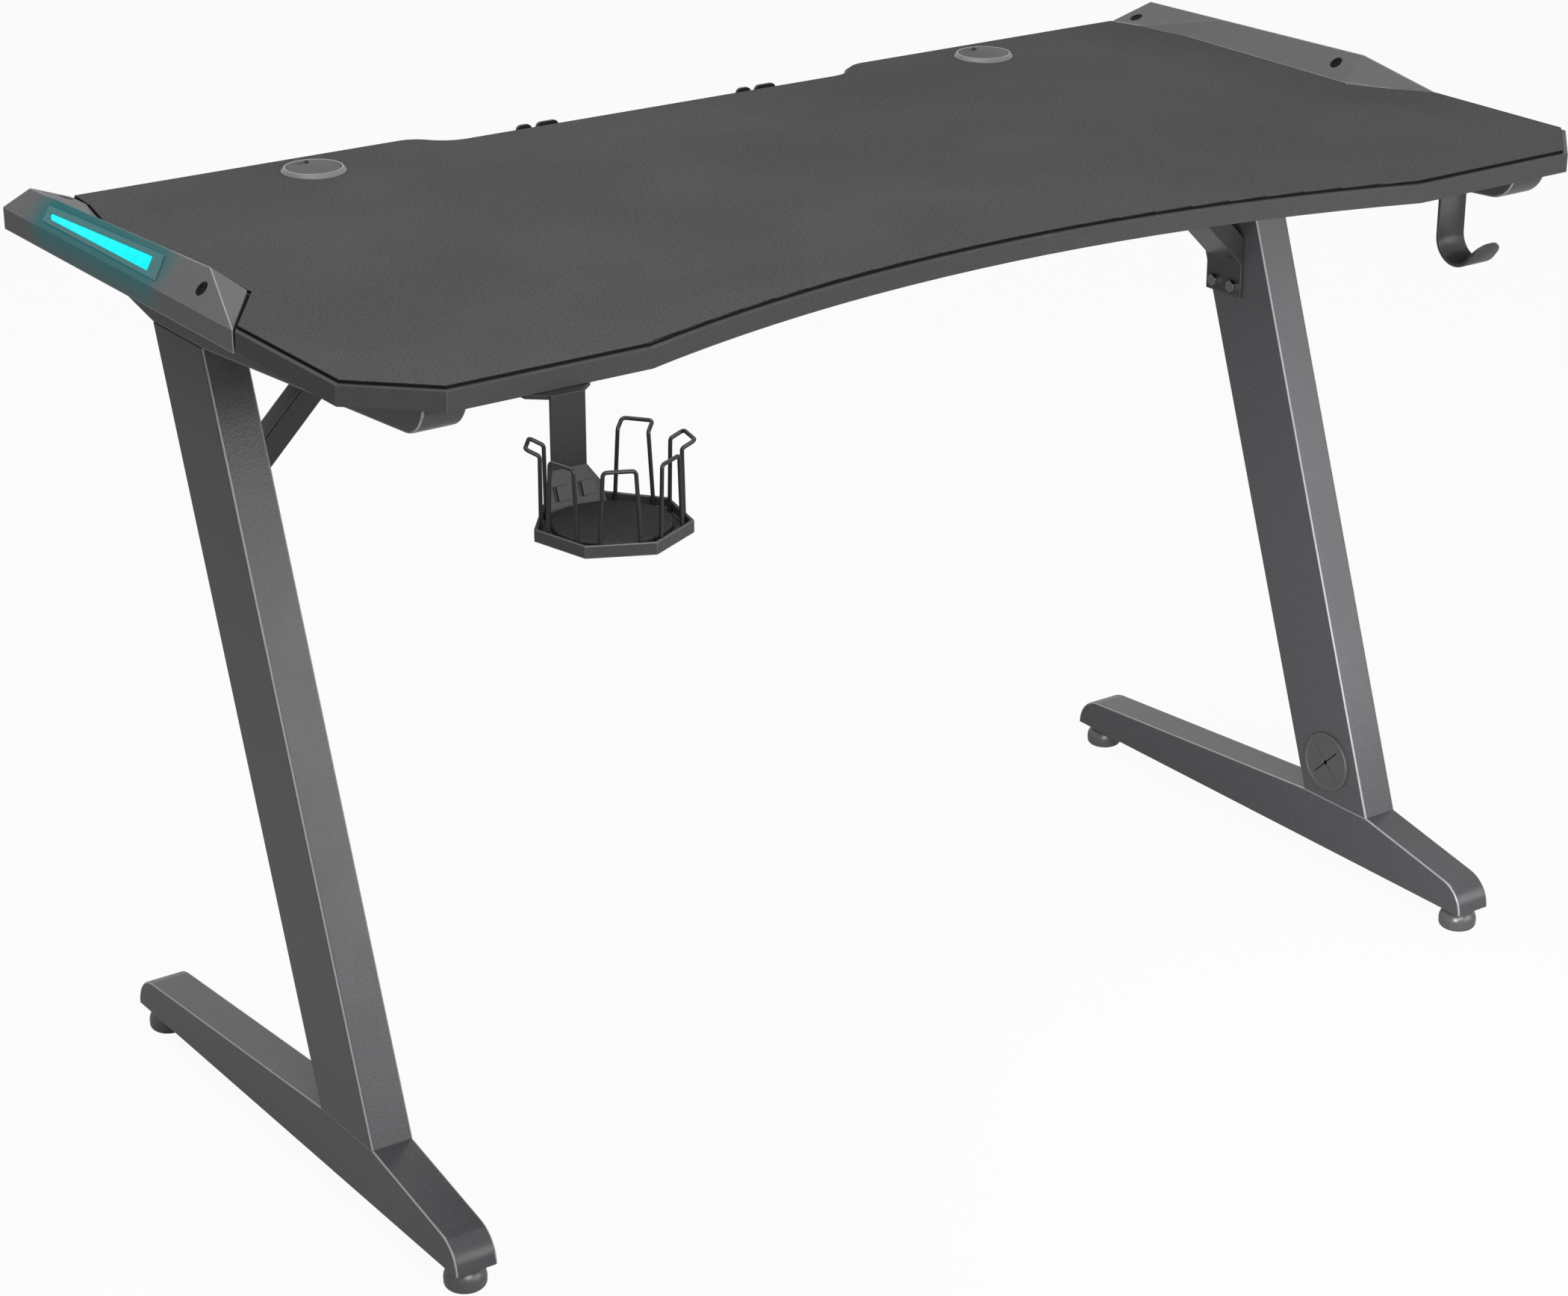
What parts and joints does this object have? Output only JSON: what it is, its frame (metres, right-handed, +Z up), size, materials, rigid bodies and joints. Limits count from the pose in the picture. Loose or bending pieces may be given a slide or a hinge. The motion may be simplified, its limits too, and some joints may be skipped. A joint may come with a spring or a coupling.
{
  "type": "gaming desk",
  "caption": "Gaming desk with a curved mat-covered top, faceted lit side wings, leaning Z-shaped steel legs, a wire cup holder, a headphone hook and cable grommets.",
  "frame": {"origin": "on the floor under the middle of the desktop", "axes": "+X to the seated user's right, +Y to the rear, +Z up"},
  "size_m": [1.2, 0.7281, 0.7645],
  "materials": {
    "board": "dark grey laminate",
    "mat": "fine textured, matte",
    "wing_plastic": "satin",
    "bezel": "gloss black",
    "light": "glowing cyan diffuser",
    "circuit": "white circuit board",
    "frame_steel": "satin powder coat",
    "sheet_steel": "satin powder coat",
    "wire": "satin black",
    "black_bolts": "black oxide",
    "bright_steel": "zinc plated",
    "rubber": "matte",
    "glide": "black, slightly glossy",
    "grommet": "gloss",
    "grommet_cap": "satin",
    "black_plastic": "satin",
    "lead": "matte cable sheath"
  },
  "bodies": {
    "desk": {"board_screws": "bright_steel", "brace_beam_bolts": "black_bolts", "brace_column_bolts": "black_bolts", "brace_left": "frame_steel", "brace_right": "frame_steel", "cable_hook_left": "sheet_steel", "cable_hook_right": "sheet_steel", "cable_hook_screws": "black_bolts", "cable_port_left": "rubber", "cable_port_right": "rubber", "column_left": "frame_steel", "column_right": "frame_steel", "crossbeam": "frame_steel", "crossbeam_bolts": "black_bolts", "cup_bracket": "sheet_steel", "cup_dish": "sheet_steel", "cup_pad": "rubber", "cup_screws": "black_bolts", "cup_wires_short": "wire", "cup_wires_tall": "wire", "desktop_board": "board", "desktop_mat": "mat", "foot_left": "frame_steel", "foot_right": "frame_steel", "glide_nuts": "bright_steel", "grommet_liner_left": "grommet", "grommet_liner_right": "grommet", "headphone_hook": "sheet_steel", "hook_screws": "black_bolts", "led_bezel_left": "bezel", "led_bezel_right": "bezel", "led_controller": "black_plastic", "led_controller_screws": "black_bolts", "led_inlet": "bright_steel", "led_lead_left": "lead", "led_lead_right": "lead", "led_lens_left": "light", "led_lens_right": "light", "led_strip_left": "circuit", "led_strip_right": "circuit", "top_beam_left": "frame_steel", "top_beam_right": "frame_steel", "wing_bracket_left": "sheet_steel", "wing_bracket_right": "sheet_steel", "wing_bracket_screws": "black_bolts", "wing_left": "wing_plastic", "wing_right": "wing_plastic", "wing_screws_left": "black_bolts", "wing_screws_right": "black_bolts"},
    "glide_front_left": {"glide_pad_front_left": "glide", "glide_stud_front_left": "bright_steel"},
    "glide_front_right": {"glide_pad_front_right": "glide", "glide_stud_front_right": "bright_steel"},
    "glide_rear_left": {"glide_pad_rear_left": "glide", "glide_stud_rear_left": "bright_steel"},
    "glide_rear_right": {"glide_pad_rear_right": "glide", "glide_stud_rear_right": "bright_steel"},
    "cap_left": {"grommet_cap_left": "grommet_cap"},
    "cap_right": {"grommet_cap_right": "grommet_cap"}
  },
  "joints": [
    {"name": "glide_front_left_level", "type": "slide", "parent": "desk", "child": "glide_front_left", "axis": [0, 0, -1], "range_m": [0, 0.01]},
    {"name": "glide_front_right_level", "type": "slide", "parent": "desk", "child": "glide_front_right", "axis": [0, 0, -1], "range_m": [0, 0.01]},
    {"name": "glide_rear_left_level", "type": "slide", "parent": "desk", "child": "glide_rear_left", "axis": [0, 0, -1], "range_m": [0, 0.01]},
    {"name": "glide_rear_right_level", "type": "slide", "parent": "desk", "child": "glide_rear_right", "axis": [0, 0, -1], "range_m": [0, 0.01]},
    {"name": "cap_left_turn", "type": "hinge", "parent": "desk", "child": "cap_left", "pos_m": [-0.35, 0.249, 0.743], "axis": [0, 0, 1], "continuous": true},
    {"name": "cap_right_turn", "type": "hinge", "parent": "desk", "child": "cap_right", "pos_m": [0.35, 0.249, 0.743], "axis": [0, 0, 1], "continuous": true}
  ]
}
